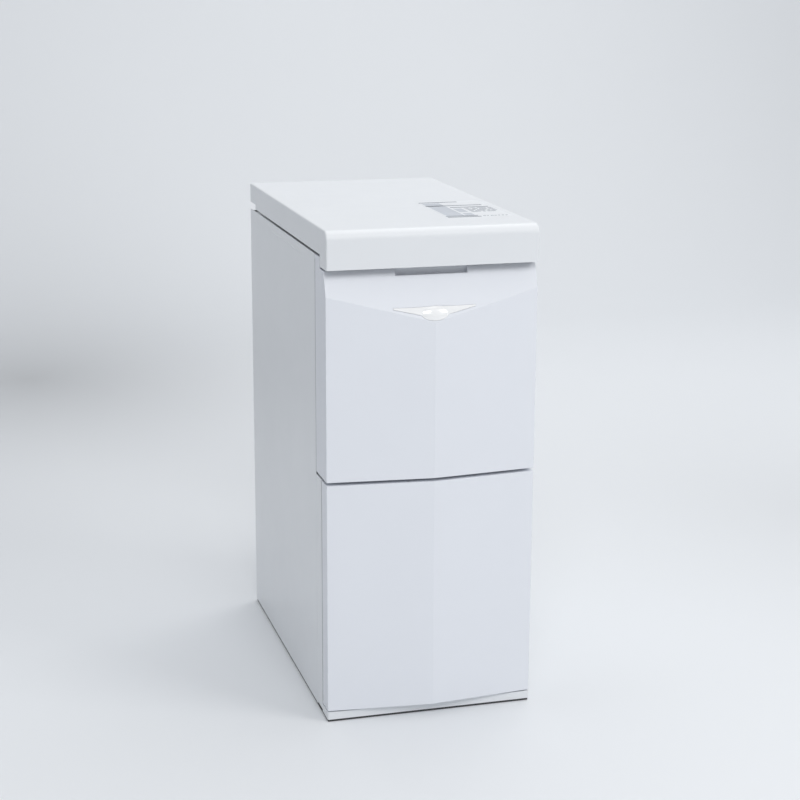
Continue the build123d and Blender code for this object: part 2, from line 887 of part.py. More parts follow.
with BuildPart() as ram_side_plates:
    for sign in (-1, 1):
        with BuildSketch(Plane.YZ.offset(sign * (plate_inner + plate_outer) / 2)):
            with BuildLine():
                Polyline(
                    (screw_y - plate_foot, platen_rest + platen_thickness),
                    (screw_y - beam_half, crosshead_rest),
                    (screw_y + beam_half, crosshead_rest),
                    (screw_y + plate_foot, platen_rest + platen_thickness),
                    close=True,
                )
            make_face()
        extrude(amount=(plate_outer - plate_inner) / 2, both=True)
ram_side_plates.part.label = "ram_side_plates"
export_step(ram_side_plates.part, "parts/ram_side_plates.step")

nut_inner = 156
nut_outer = 181
nut_height = 40
with BuildPart() as ram_crosshead:
    for wall, mode in ((0, Mode.ADD), (beam_wall, Mode.SUBTRACT)):
        block(
            (-nut_inner, nut_inner),
            (screw_y - beam_half + wall, screw_y + beam_half - wall),
            (crosshead_rest + wall, crosshead_rest + beam_height - wall),
            mode=mode,
        )
ram_crosshead.part.label = "ram_crosshead"
export_step(ram_crosshead.part, "parts/ram_crosshead.step")

with BuildPart() as power_nuts:
    for sign in (-1, 1):
        nut_z = (crosshead_rest - 3, crosshead_rest - 3 + nut_height)
        block(mirrored(sign, nut_inner, nut_outer), (screw_y - nut_half, screw_y + nut_half), nut_z)
        rod(sign * screw_x, screw_y, nut_z[0], nut_z[1], screw_radius + fit, mode=Mode.SUBTRACT)
power_nuts.part.label = "power_nuts"
export_step(power_nuts.part, "parts/power_nuts.step")

# ---- Power screws, bearings and drive -----------------------------------------------------------
sprocket_low = 28
sprocket_high = 35
sprocket_radius = 13.5
sprocket_teeth = 10
tooth_gap_radius = 2.5


def sprocket(x, y):
    """A small chain sprocket, in the part being built."""
    rod(x, y, sprocket_low, sprocket_high, sprocket_radius)
    with Locations((x, y, sprocket_low)):
        with PolarLocations(sprocket_radius + 1, sprocket_teeth):
            Cylinder(tooth_gap_radius, sprocket_high - sprocket_low, align=on_its_end, mode=Mode.SUBTRACT)


for side, sign in sides:
    with BuildPart() as power_screw:
        sprocket(sign * screw_x, screw_y)
        rod(sign * screw_x, screw_y, base_top + 1, rail_low - 4, screw_radius)
    power_screw.part.label = f"power_screw_{side}"
    export_step(power_screw.part, f"parts/power_screw_{side}.step")

bearing_half = 15
bearing_y = (screw_y - 16, screw_y + 16)
bearing_height = 22
with BuildPart() as screw_bearings:
    for sign in (-1, 1):
        for low, high in ((base_top, sprocket_low - 2), (rail_low - bearing_height, rail_low)):
            block(mirrored(sign, screw_x - bearing_half, screw_x + bearing_half), bearing_y, (low, high))
            rod(sign * screw_x, screw_y, low, high, screw_radius + fit, mode=Mode.SUBTRACT)
screw_bearings.part.label = "screw_bearings"
export_step(screw_bearings.part, "parts/screw_bearings.step")

chain_inner = 14.3
chain_thickness = 4.5
with BuildPart() as drive_chain:
    for radius, mode in ((chain_inner + chain_thickness, Mode.ADD), (chain_inner, Mode.SUBTRACT)):
        with BuildSketch(Plane.XY.offset(sprocket_low + 1)):
            with BuildLine():
                for x, y in ((-screw_x, screw_y), (screw_x, screw_y), (0, motor_y)):
                    CenterArc((x, y), radius, 0, 360)
            make_hull()
        extrude(amount=sprocket_high - sprocket_low - 2, mode=mode)
drive_chain.part.label = "drive_chain"
export_step(drive_chain.part, "parts/drive_chain.step")

gearbox_low = 42
flange_top = gearbox_low + 8
gearbox_top = 130
gearbox_half = 45
shaft_radius = 6
shaft_top = 60
leg_radius = 7
gearbox_legs = [(x, motor_y + y) for x in (-57, 57) for y in (-37, 37)]
with BuildPart() as gearbox:
    gearbox_y = (motor_y - gearbox_half, motor_y + gearbox_half)
    block((-65, 65), gearbox_y, (gearbox_low, flange_top))
    block((-50, 50), gearbox_y, (flange_top, gearbox_top))
    fillet(gearbox.edges().filter_by(Axis.Z).group_by(SortBy.LENGTH)[-1], radius=10)
    for x, y in gearbox_legs:
        rod(x, y, base_top, gearbox_low, leg_radius)
    rod(0, motor_y, gearbox_low, shaft_top + 2, shaft_radius + fit, mode=Mode.SUBTRACT)
gearbox.part.label = "gearbox"
export_step(gearbox.part, "parts/gearbox.step")

with BuildPart() as output_sprocket:
    sprocket(0, motor_y)
    rod(0, motor_y, sprocket_low - 4, shaft_top, shaft_radius)
output_sprocket.part.label = "output_sprocket"
export_step(output_sprocket.part, "parts/output_sprocket.step")

motor_top = 285
motor_radius = 54
fin_count = 24
fin_gap = (5, 4, 110)
with BuildPart() as motor:
    rod(0, motor_y, gearbox_top + 0.2, motor_top, motor_radius)
    fillet(motor.faces().sort_by(Axis.Z)[-1].edges(), radius=8)
    with Locations((0, motor_y, (gearbox_top + motor_top) / 2)):
        with PolarLocations(motor_radius, fin_count):
            Box(*fin_gap, mode=Mode.SUBTRACT)
motor.part.label = "motor"
export_step(motor.part, "parts/motor.step")

inlet_back = rear_panel_back + 2
cavity_front = inlet_back - 18
pin_places = ((-7, -2), (0, 3), (7, -2))


def inlet_block(half_x, half_z, y_range, mode=Mode.ADD):
    """A box centred on the power inlet, in the part being built."""
    block((inlet_x - half_x, inlet_x + half_x), y_range, (inlet_z - half_z, inlet_z + half_z), mode=mode)


with BuildPart() as power_inlet:
    inlet_block(28, 17, (rear_panel_back, inlet_back))
    inlet_block(23, 13, (rear_panel_front - 22, rear_panel_back))
    inlet_block(13, 9, (cavity_front, inlet_back), mode=Mode.SUBTRACT)
    for pin_x, pin_z in pin_places:
        block(
            (inlet_x + pin_x - 1, inlet_x + pin_x + 1),
            (cavity_front, inlet_back - 3),
            (inlet_z + pin_z - 2, inlet_z + pin_z + 2),
        )
power_inlet.part.label = "power_inlet"
export_step(power_inlet.part, "parts/power_inlet.step")
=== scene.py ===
"""Looks of a free-standing white trash compactor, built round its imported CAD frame."""

import json
import math
import random

import bmesh
import bpy
from mathutils import Matrix, Vector


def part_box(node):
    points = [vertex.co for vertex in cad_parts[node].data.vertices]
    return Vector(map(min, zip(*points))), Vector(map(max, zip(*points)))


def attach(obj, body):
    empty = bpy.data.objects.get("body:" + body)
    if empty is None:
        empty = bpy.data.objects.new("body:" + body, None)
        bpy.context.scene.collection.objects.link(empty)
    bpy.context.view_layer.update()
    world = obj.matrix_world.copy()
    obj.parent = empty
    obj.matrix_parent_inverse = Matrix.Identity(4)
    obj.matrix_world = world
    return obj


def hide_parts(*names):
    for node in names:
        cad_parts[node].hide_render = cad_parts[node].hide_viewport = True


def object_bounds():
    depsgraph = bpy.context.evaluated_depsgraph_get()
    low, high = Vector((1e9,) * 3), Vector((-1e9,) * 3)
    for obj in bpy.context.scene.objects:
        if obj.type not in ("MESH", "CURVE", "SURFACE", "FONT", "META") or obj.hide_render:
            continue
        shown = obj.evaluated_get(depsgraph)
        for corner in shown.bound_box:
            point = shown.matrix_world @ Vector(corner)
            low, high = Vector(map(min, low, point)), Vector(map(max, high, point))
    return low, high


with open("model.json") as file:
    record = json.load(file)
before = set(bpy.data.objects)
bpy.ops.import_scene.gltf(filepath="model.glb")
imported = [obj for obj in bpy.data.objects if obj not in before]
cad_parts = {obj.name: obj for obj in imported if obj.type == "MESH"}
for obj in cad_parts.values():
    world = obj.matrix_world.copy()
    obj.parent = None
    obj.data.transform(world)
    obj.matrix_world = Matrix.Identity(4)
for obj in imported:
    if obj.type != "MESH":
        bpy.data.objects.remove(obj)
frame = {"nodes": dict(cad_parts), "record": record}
cad_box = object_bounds()
scene = bpy.context.scene

BODY_OF = {node: body for body, nodes in frame["record"]["behaviour"]["bodies"].items() for node in nodes}
SLOT_OF = {part["node"]: part["material_slot"] for part in frame["record"]["subparts"]}

# ---- Surfaces: noise span, bump heights in metres, and edge treatment ---------------------------
NOISE_SPAN = (0.3, 0.7)
PEEL_HEIGHT = 0.0004
GRAIN_HEIGHT = 0.0003
METAL_GRAIN_DEPTH = 0.06
SPANGLE_SCALE = 130.0
WELD_REACH = 1e-6
FLAT_ANGLE = 0.6
BEVEL_ANGLE = 25
SHADE_ANGLE = 40

# ---- Studio: places and sizes in metres, angles in degrees ---------------------------------------
SWEEP_TONES = ((0.825, 0.845, 0.87), (0.835, 0.855, 0.88))
# Painted shade on the sweep: each zone (centre, reach, amount) darkens the paper towards its middle, in
# place of soft shadow and light falloff.
SWEEP_PAINTED_SHADES = (
    ((-0.5, 2.5, 0.0), (1.7, 2.3, 4.0), 0.38),
    ((1.3, 0.6, 0.0), (1.5, 1.9, 4.0), 0.11),
)
CURVE_STEPS = 12
ROOM_COLOUR = (0.93, 0.96, 1.0, 1)
ROOM_STRENGTH = 0.37
CAMERA_YAW, CAMERA_PITCH, CAMERA_ROLL = 15.762, 14.151, 0.259
CAMERA_PLACE = (-0.8875, -3.252, 1.3582)
CAMERA_LENS, CAMERA_SENSOR = 81.53, 36

# ---- Lid print: shares of the label's width (left, right) and depth (front, back) ----------------
PRINT_SEED = 15
INK = 0.00006
PLATE_CORNER = 0.001
PICTURE_MARKS = ((0.02, 0.30, 0.10, 0.90), (0.33, 0.47, 0.10, 0.24), (0.33, 0.47, 0.30, 0.52))
RULED_LINES = ((0.93, 0.0, 0.62), (0.70, 0.0, 0.90), (0.58, 0.33, 0.94), (0.0, 0.0, 0.52), (0.06, 0.0, 0.50))
LINE_SHARE = 0.032
DASH_ROWS, DASH_ROW_STEP = 5, 0.055
DASH_FRONT, DASH_BACK = 0.30, 0.322
DASH_LEFT, DASH_LAST_START, DASH_RIGHT = 0.52, 0.93, 0.96
DASH_WIDTHS, DASH_GAP = (0.05, 0.16), 0.025
BAR_COUNT, BAR_LEFT, BAR_STEP = 7, 0.56, 0.058
BAR_WIDTHS = (0.025, 0.05)
BAR_FRONT, BAR_BACK = 0.03, 0.05

# ---- Badge dome and side bead, in metres ---------------------------------------------------------
LEAN = 0.364
DOME_HALF = (0.0236, 0.0122)
DOME_RISE = 0.0034
DOME_SEAT = 0.0006
DOME_CURVE = 2.6
DOME_RINGS = 10
DOME_STEPS = 64
DOME_SHADE_ANGLE = 60
BEAD_START, BEAD_END = 0.090, 0.378
BEAD_DROP = 0.016
BEAD_HALF = 0.0022
BEAD_RISE = 0.0006
BEAD_STEPS = 24
BEAD_TAPER = 8
BEAD_TIP_SHARE = 0.25
BEAD_ARC_STEP = 18
BEAD_SHADE_ANGLE = 50

# ---- Painted shade under the body and in the front panel gaps: a dark floor strip and dark seal strips, in metres ---
SHADE_STRIP_SETBACK = 0.0008
SHADE_STRIP_WIDTH = 0.005
SHADE_STRIP_LIFT = 0.0004
SHADE_STRIP_ROUNDING = 0.0002
SHADE_SEAL_ROUNDING = 0.0003
DRAWER_SHADE_SEAL_GAP, DRAWER_SHADE_SEAL_END = 0.0012, 0.004
DRAWER_SHADE_SEAL_INSET, DRAWER_SHADE_SEAL_WIDTH = 0.0008, 0.012
FASCIA_SHADE_SEAL_NEAR, FASCIA_SHADE_SEAL_FAR = 0.0002, 0.0027
FASCIA_SHADE_SEAL_FOOT, FASCIA_SHADE_SEAL_HEAD = 0.002, 0.008
FASCIA_SHADE_SEAL_INSET, FASCIA_SHADE_SEAL_WIDTH = 0.0003, 0.006

# ---- Power screws, in metres: the lead is what one turn moves the ram ----------------------------
SCREW_RATIO = next(
    link["ratio"]
    for link in frame["record"]["behaviour"]["couplings"]
    if link["joint"] == "screw_left_turn"
)
SCREW_LEAD = math.tau / SCREW_RATIO
SCREW_RADIUS = 0.008
SCREW_STEPS = 28
SCREW_SHADE_ANGLE = 35
THREAD_STEP = 0.0007
THREAD_STARTS = 4
THREAD_DEPTH = 0.0009
THREAD_ROOT_SHARE = 0.5
PLAIN_FOOT, PLAIN_HEAD = 0.04, 0.03
SPROCKET_Z = (0.028, 0.035)
SPROCKET_RADIUS = 0.0135
TOOTH_DEPTH = 0.0022
TOOTH_COUNT = 10
TOOTH_OUTLINE = ((0.0, False), (0.28, False), (0.42, True), (0.58, True), (0.72, False))


# ---- Materials ----------------------------------------------------------------------------------
def new_material(name):
    """An empty node material and its shader."""
    mat = bpy.data.materials.new(name)
    mat.use_nodes = True
    return mat, mat.node_tree.nodes["Principled BSDF"]


def add_node(mat, kind, **inputs):
    """A node with its input sockets set by name."""
    node = mat.node_tree.nodes.new(kind)
    for key, value in inputs.items():
        node.inputs[key.replace("_", " ")].default_value = value
    return node


def noise(mat, scale, detail, roughness=0.55, stretch=(1, 1, 1)):
    """Noise in the object's own metres, drawn out along an axis by a small stretch factor."""
    links = mat.node_tree.links
    coords = mat.node_tree.nodes.new("ShaderNodeTexCoord")
    mapping = mat.node_tree.nodes.new("ShaderNodeMapping")
    mapping.inputs["Scale"].default_value = stretch
    texture = add_node(mat, "ShaderNodeTexNoise", Scale=scale, Detail=detail, Roughness=roughness)
    links.new(coords.outputs["Object"], mapping.inputs["Vector"])
    links.new(mapping.outputs["Vector"], texture.inputs["Vector"])
    return texture.outputs["Fac"]


def ramp(mat, source, low, high, start=NOISE_SPAN[0], end=NOISE_SPAN[1]):
    """Turns a grey value into a run between two colours."""
    node = mat.node_tree.nodes.new("ShaderNodeValToRGB")
    node.color_ramp.elements[0].position = start
    node.color_ramp.elements[1].position = end
    node.color_ramp.elements[0].color = (*low, 1)
    node.color_ramp.elements[1].color = (*high, 1)
    mat.node_tree.links.new(source, node.inputs["Fac"])
    return node.outputs["Color"]


def spread(mat, source, low, high):
    """Maps a grey value between two numbers."""
    node = mat.node_tree.nodes.new("ShaderNodeMapRange")
    node.inputs["From Min"].default_value = NOISE_SPAN[0]
    node.inputs["From Max"].default_value = NOISE_SPAN[1]
    node.inputs["To Min"].default_value = low
    node.inputs["To Max"].default_value = high
    mat.node_tree.links.new(source, node.inputs["Value"])
    return node.outputs["Result"]


def add_bump(mat, shader, height, strength, distance):
    """Bumps a shader's surface by a grey value."""
    bump = add_node(mat, "ShaderNodeBump", Strength=strength, Distance=distance)
    mat.node_tree.links.new(height, bump.inputs["Height"])
    mat.node_tree.links.new(bump.outputs["Normal"], shader.inputs["Normal"])


def tinted(colour, factor):
    """A colour made lighter or darker."""
    return tuple(min(1.0, channel * factor) for channel in colour)


def enamel(name, colour, gloss=0.34, peel=0.05):
    """Baked enamel on sheet steel: slight orange peel, soft gloss and faint handling marks."""
    mat, shader = new_material(name)
    links = mat.node_tree.links
    tone = ramp(mat, noise(mat, 3.2, 5), tinted(colour, 0.985), tinted(colour, 1.01))
    links.new(tone, shader.inputs["Base Color"])
    links.new(spread(mat, noise(mat, 22, 6), gloss - 0.03, gloss + 0.05), shader.inputs["Roughness"])
    add_bump(mat, shader, noise(mat, 420, 2), peel, PEEL_HEIGHT)
    shader.inputs["Coat Weight"].default_value = 0.25
    shader.inputs["Coat Roughness"].default_value = 0.18
    return mat


def moulded(name, colour, gloss=0.45, grain=900, depth=0.12, drift=0.045):
    """Moulded plastic: fine spark-eroded grain and small tone drift."""
    mat, shader = new_material(name)
    links = mat.node_tree.links
    tone = ramp(mat, noise(mat, 9, 4), tinted(colour, 1 - drift), tinted(colour, 1 + drift))
    links.new(tone, shader.inputs["Base Color"])
    links.new(spread(mat, noise(mat, 60, 5), gloss - 0.05, gloss + 0.06), shader.inputs["Roughness"])
    add_bump(mat, shader, noise(mat, grain, 2), depth, GRAIN_HEIGHT)
    return mat


def metal(name, colour, rough=0.3, stretch=(1, 1, 1), scale=120, patches=False):
    """Bare metal: drawn or rolled grain, with the spangle of zinc where it is galvanised."""
    mat, shader = new_material(name)
    links = mat.node_tree.links
    shader.inputs["Metallic"].default_value = 1.0
    grain = noise(mat, scale, 4, 0.6, stretch)
    if patches:
        cells = add_node(mat, "ShaderNodeTexVoronoi", Scale=SPANGLE_SCALE)
        coords = mat.node_tree.nodes.new("ShaderNodeTexCoord")
        links.new(coords.outputs["Object"], cells.inputs["Vector"])
        flake = mat.node_tree.nodes.new("ShaderNodeSeparateColor")
        links.new(cells.outputs["Color"], flake.inputs["Color"])
        tone = ramp(mat, flake.outputs["Red"], tinted(colour, 0.93), tinted(colour, 1.06), 0.0, 1.0)
    else:
        tone = ramp(mat, grain, tinted(colour, 0.92), tinted(colour, 1.05))
    links.new(tone, shader.inputs["Base Color"])
    links.new(spread(mat, grain, rough - 0.06, rough + 0.1), shader.inputs["Roughness"])
    add_bump(mat, shader, grain, METAL_GRAIN_DEPTH, GRAIN_HEIGHT)
    return mat


def pearl(name, colour):
    """Bright satin trim: white lacquer with a clear coat, a trace of metal and a faint brushed drift."""
    mat, shader = new_material(name)
    links = mat.node_tree.links
    tone = ramp(mat, noise(mat, 160, 3, 0.5, (0.2, 1, 1)), tinted(colour, 0.97), tinted(colour, 1.02))
    links.new(tone, shader.inputs["Base Color"])
    links.new(spread(mat, noise(mat, 90, 4), 0.16, 0.26), shader.inputs["Roughness"])
    shader.inputs["Metallic"].default_value = 0.05
    shader.inputs["Coat Weight"].default_value = 0.6
    shader.inputs["Coat Roughness"].default_value = 0.08
    return mat


WHITE = (0.80, 0.82, 0.845)
MATERIALS = {
    "white_enamel": enamel("white_enamel", WHITE),
    "white_plastic": moulded("white_plastic", (0.795, 0.818, 0.868), 0.36, depth=0.04, drift=0.006),
    "black_enamel": enamel("black_enamel", (0.022, 0.022, 0.025), 0.38, 0.12),
    "galvanised": metal("galvanised", (0.60, 0.62, 0.64), 0.34, patches=True),
    "machined_steel": metal("machined_steel", (0.56, 0.57, 0.59), 0.22, (1, 1, 14), 180),
    "cast_metal": moulded("cast_metal", (0.13, 0.135, 0.14), 0.6, 260, 0.5),
    "bright_trim": pearl("bright_trim", (0.965, 0.97, 0.975)),
    "grey_plastic": moulded("grey_plastic", (0.22, 0.24, 0.27)),
    "dark_plastic": moulded("dark_plastic", (0.03, 0.03, 0.033), 0.5),
    "bin_plastic": moulded("bin_plastic", (0.30, 0.33, 0.37), 0.5, 500),
    "red_plastic": moulded("red_plastic", (0.55, 0.03, 0.025), 0.25),
    "green_plastic": moulded("green_plastic", (0.03, 0.33, 0.10), 0.25),
    "seal_rubber": moulded("seal_rubber", (0.05, 0.05, 0.053), 0.7, 700, 0.2),
    "label_paper": moulded("label_paper", WHITE, 0.36, 1500, 0.04, 0.008),
    "charcoal": moulded("charcoal", (0.012, 0.012, 0.012), 0.85, 400, 0.6),
}
PRINT_GREY = moulded("print_grey", (0.17, 0.19, 0.23), 0.5, 1500, 0.03)
PRINT_BLUE = moulded("print_blue", (0.55, 0.58, 0.63), 0.5, 1500, 0.03)


def dress(obj, mat):
    """Puts one material on a piece in place of whatever it has."""
    if not obj.material_slots:
        obj.data.materials.append(mat)
    for slot in obj.material_slots:
        slot.material = mat


for node, obj in frame["nodes"].items():
    dress(obj, MATERIALS[SLOT_OF[node]])


# ---- Pieces -------------------------------------------------------------------------------------
def mesh_piece(name, shape, body, slot, mat=None):
    """A piece from a finished bmesh, riding on a body with the finish of a slot."""
    mesh = bpy.data.meshes.new(name)
    shape.to_mesh(mesh)
    shape.free()
    obj = bpy.data.objects.new(name, mesh)
    scene.collection.objects.link(obj)
    dress(obj, mat or MATERIALS[slot])
    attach(obj, body)
    return obj


def smooth_by_angle(obj, angle):
    """Smooth shading that breaks at edges sharper than the angle."""
    obj.data.shade_smooth()
    obj.data.set_sharp_from_angle(angle=math.radians(angle))


def soften(obj, width, segments):
    """Rounds every sharp edge a little, as folded sheet and moulded plastic are."""
    bevel = obj.modifiers.new("soft_edges", "BEVEL")
    bevel.width = width
    bevel.segments = segments
    bevel.limit_method = "ANGLE"
    bevel.angle_limit = math.radians(BEVEL_ANGLE)
    smooth_by_angle(obj, SHADE_ANGLE)
    weighted = obj.modifiers.new("flat_faces_first", "WEIGHTED_NORMAL")
    weighted.keep_sharp = True


def rounded_copy(node, width, segments):
    """A copy of a CAD node with its flat faces joined up and its edges rounded. It stands for the node."""
    shape = bmesh.new()
    shape.from_mesh(frame["nodes"][node].data)
    bmesh.ops.remove_doubles(shape, verts=shape.verts, dist=WELD_REACH)
    flat = math.radians(FLAT_ANGLE)
    bmesh.ops.dissolve_limit(shape, angle_limit=flat, verts=shape.verts, edges=shape.edges)
    obj = mesh_piece(f"{node}_finished", shape, BODY_OF[node], SLOT_OF[node])
    soften(obj, width, segments)
    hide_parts(node)


# ---- Floor and light ----------------------------------------------------------------------------
def painted_shade_zone(mat, tone, place, reach, amount):
    """Darkens a colour towards the middle of an ellipsoid: painted shade, a soft shadow put into the paper's
    colour.
    """
    links = mat.node_tree.links
    coords = mat.node_tree.nodes.new("ShaderNodeTexCoord")
    mapping = mat.node_tree.nodes.new("ShaderNodeMapping")
    mapping.vector_type = "TEXTURE"
    mapping.inputs["Location"].default_value = place
    mapping.inputs["Scale"].default_value = reach
    links.new(coords.outputs["Object"], mapping.inputs["Vector"])
    fade = mat.node_tree.nodes.new("ShaderNodeTexGradient")
    fade.gradient_type = "QUADRATIC_SPHERE"
    links.new(mapping.outputs["Vector"], fade.inputs["Vector"])
    level = mat.node_tree.nodes.new("ShaderNodeMapRange")
    level.inputs["To Min"].default_value = 1.0
    level.inputs["To Max"].default_value = 1.0 - amount
    links.new(fade.outputs["Fac"], level.inputs["Value"])
    scale = mat.node_tree.nodes.new("ShaderNodeVectorMath")
    scale.operation = "SCALE"
    links.new(tone, scale.inputs[0])
    links.new(level.outputs["Result"], scale.inputs["Scale"])
    return scale.outputs["Vector"]


def make_stage():
    """A seamless pale sweep: floor, a wide curve, and a wall behind. Its paper carries painted shade: soft
    darker zones put into its colour in place of shadow and light falloff.
    """
    shape = bmesh.new()
    half, front, wall, radius, high = 9.0, -7.0, 5.0, 2.0, 7.0
    profile = [(front, 0.0), (wall - radius, 0.0)]
    for step in range(1, CURVE_STEPS + 1):
        turn = math.radians(90 * step / CURVE_STEPS)
        profile.append((wall - radius + radius * math.sin(turn), radius - radius * math.cos(turn)))
    profile.append((wall, high))
    rows = [[shape.verts.new((x, y, z)) for x in (-half, half)] for y, z in profile]
    for low, up in zip(rows, rows[1:]):
        shape.faces.new((low[0], low[1], up[1], up[0]))
    mesh = bpy.data.meshes.new("sweep")
    shape.to_mesh(mesh)
    shape.free()
    mesh.shade_smooth()
    sweep = bpy.data.objects.new("sweep", mesh)
    scene.collection.objects.link(sweep)
    mat, shader = new_material("sweep_paper")
    tone = ramp(mat, noise(mat, 0.7, 3), *SWEEP_TONES)
    # painted shade: soft darker zones put into the paper's colour
    for place, reach, amount in SWEEP_PAINTED_SHADES:
        tone = painted_shade_zone(mat, tone, place, reach, amount)
    mat.node_tree.links.new(tone, shader.inputs["Base Color"])
    shader.inputs["Roughness"].default_value = 0.75
    dress(sweep, mat)


def area_light(name, place, aim, size, power, colour=(1, 1, 1)):
    """A soft rectangular light pointed at a place."""
    data = bpy.data.lights.new(name, "AREA")
    data.shape = "RECTANGLE"
    data.size, data.size_y = size
    data.energy = power
    data.color = colour
    obj = bpy.data.objects.new(name, data)
    obj.location = place
    obj.rotation_euler = (Vector(aim) - Vector(place)).to_track_quat("-Z", "Y").to_euler()
    scene.collection.objects.link(obj)


def make_light():
    """A pale room and four soft rectangular lights."""
    world = bpy.data.worlds.new("soft_room")
    world.use_nodes = True
    world.node_tree.nodes["Background"].inputs["Color"].default_value = ROOM_COLOUR
    world.node_tree.nodes["Background"].inputs["Strength"].default_value = ROOM_STRENGTH
    scene.world = world
    area_light("key", (3.0, -2.8, 3.4), (0, 0, 0.5), (2.2, 2.2), 58, (1.0, 0.99, 0.97))
    area_light("top", (0.2, 0.9, 4.2), (0, 0.4, 0.4), (4.0, 4.0), 55)
    area_light("backdrop_wash", (2.0, 1.9, 3.8), (1.9, 4.4, 0.8), (2.4, 2.0), 36)
    area_light("front_fill", (-0.6, -4.2, 4.0), (0, 0, 0.5), (2.5, 2.0), 88)


def make_camera():
    """The photograph's view: slightly from the left and above."""
    yaw, pitch, roll = (math.radians(turn) for turn in (CAMERA_YAW, CAMERA_PITCH, CAMERA_ROLL))
    ahead = Vector((math.sin(yaw) * math.cos(pitch), math.cos(yaw) * math.cos(pitch), -math.sin(pitch)))
    level = Vector((math.cos(yaw), -math.sin(yaw), 0))
    upright = level.cross(ahead)
    right = math.cos(roll) * level + math.sin(roll) * upright
    up = math.cos(roll) * upright - math.sin(roll) * level
    data = bpy.data.cameras.new("camera")
    data.lens = CAMERA_LENS
    data.sensor_width = CAMERA_SENSOR
    camera = bpy.data.objects.new("camera", data)
    turn = Matrix((right, up, -ahead)).transposed().to_4x4()
    camera.matrix_world = Matrix.Translation(CAMERA_PLACE) @ turn
    scene.collection.objects.link(camera)
    scene.camera = camera


scene.view_settings.view_transform = "Standard"
make_camera()
make_stage()
make_light()


# ---- Shapes -------------------------------------------------------------------------------------
def plate(shape, x_range, y_range, z_range):
    """Adds a flat plate with cut corners to a bmesh."""
    (x0, x1), (y0, y1) = x_range, y_range
    corner = min(PLATE_CORNER, (x1 - x0) / 3, (y1 - y0) / 3)
    plan = (
        (x0 + corner, y0), (x1 - corner, y0), (x1, y0 + corner), (x1, y1 - corner),
        (x1 - corner, y1), (x0 + corner, y1), (x0, y1 - corner), (x0, y0 + corner),
    )
    prism(shape, [Vector((x, y, z_range[0])) for x, y in plan], Vector((0, 0, z_range[1] - z_range[0])))


def prism(shape, outline, rise):
    """Adds a prism to a bmesh: an outline and the same outline moved by the rise."""
    low = [shape.verts.new(point) for point in outline]
    high = [shape.verts.new(point + rise) for point in outline]
    shape.faces.new(low[::-1])
    shape.faces.new(high)
    for index, start in enumerate(low):
        after = (index + 1) % len(low)
        shape.faces.new((start, low[after], high[after], high[index]))


def join_rings(shape, rings):
    """Adds the faces between closed rings of points that follow each other in a bmesh."""
    for lower, upper in zip(rings, rings[1:]):
        for step in range(len(lower)):
            after = (step + 1) % len(lower)
            shape.faces.new((lower[step], lower[after], upper[after], upper[step]))


# ---- Details the CAD leaves out -----------------------------------------------------------------
def lid_print():
    """Plain printed marks on the lid's label: a picture panel, ruled lines and bars in place of words."""
    low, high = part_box("lid_label")
    across, along = high[0] - low[0], high[1] - low[1]
    ink_z = (high[2], high[2] + INK)

    def mark(shape, left, right, front, back):
        plate(
            shape,
            (low[0] + left * across, low[0] + right * across),
            (low[1] + front * along, low[1] + back * along),
            ink_z,
        )

    picture = bmesh.new()
    for shares in PICTURE_MARKS:
        mark(picture, *shares)
    mesh_piece("lid_print_picture", picture, "lid", "label_paper", PRINT_BLUE)
    ruling = bmesh.new()
    for front, left, right in RULED_LINES:
        mark(ruling, left, right, front, front + LINE_SHARE)
    rng = random.Random(PRINT_SEED)
    for row in range(DASH_ROWS):
        start = DASH_LEFT
        while start < DASH_LAST_START:
            end = min(DASH_RIGHT, start + rng.uniform(*DASH_WIDTHS))
            mark(ruling, start, end, DASH_FRONT + DASH_ROW_STEP * row, DASH_BACK + DASH_ROW_STEP * row)
            start = end + DASH_GAP
    for bar in range(BAR_COUNT):
        left = BAR_LEFT + BAR_STEP * bar
        mark(ruling, left, left + rng.uniform(*BAR_WIDTHS), BAR_FRONT, BAR_BACK)
    mesh_piece("lid_print_ruling", ruling, "lid", "label_paper", PRINT_GREY)


def badge_dome():
    """The domed oval in the middle of the badge."""
    low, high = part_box("badge")
    centre = Vector((0, (low[1] + high[1]) / 2, (low[2] + high[2]) / 2))
    upward = Vector((0, LEAN, 1)).normalized()
    outward = Vector((0, -1, LEAN)).normalized()
    shape = bmesh.new()
    rings = []
    for level in range(DOME_RINGS):
        reach = 1 - level / DOME_RINGS
        rise = DOME_RISE * (1 - reach**DOME_CURVE)
        ring = []
        for step in range(DOME_STEPS):
            turn = math.tau * step / DOME_STEPS
            spot = Vector((DOME_HALF[0] * reach * math.cos(turn), 0, 0))
            spot += upward * DOME_HALF[1] * reach * math.sin(turn)
            ring.append(shape.verts.new(centre + spot + outward * (rise + DOME_SEAT)))
        rings.append(ring)
    top = shape.verts.new(centre + outward * (DOME_RISE + DOME_SEAT))
    join_rings(shape, rings)
    for step in range(DOME_STEPS):
        shape.faces.new((rings[-1][step], rings[-1][(step + 1) % DOME_STEPS], top))
    obj = mesh_piece("badge_dome", shape, "cabinet", "bright_trim")
    smooth_by_angle(obj, DOME_SHADE_ANGLE)


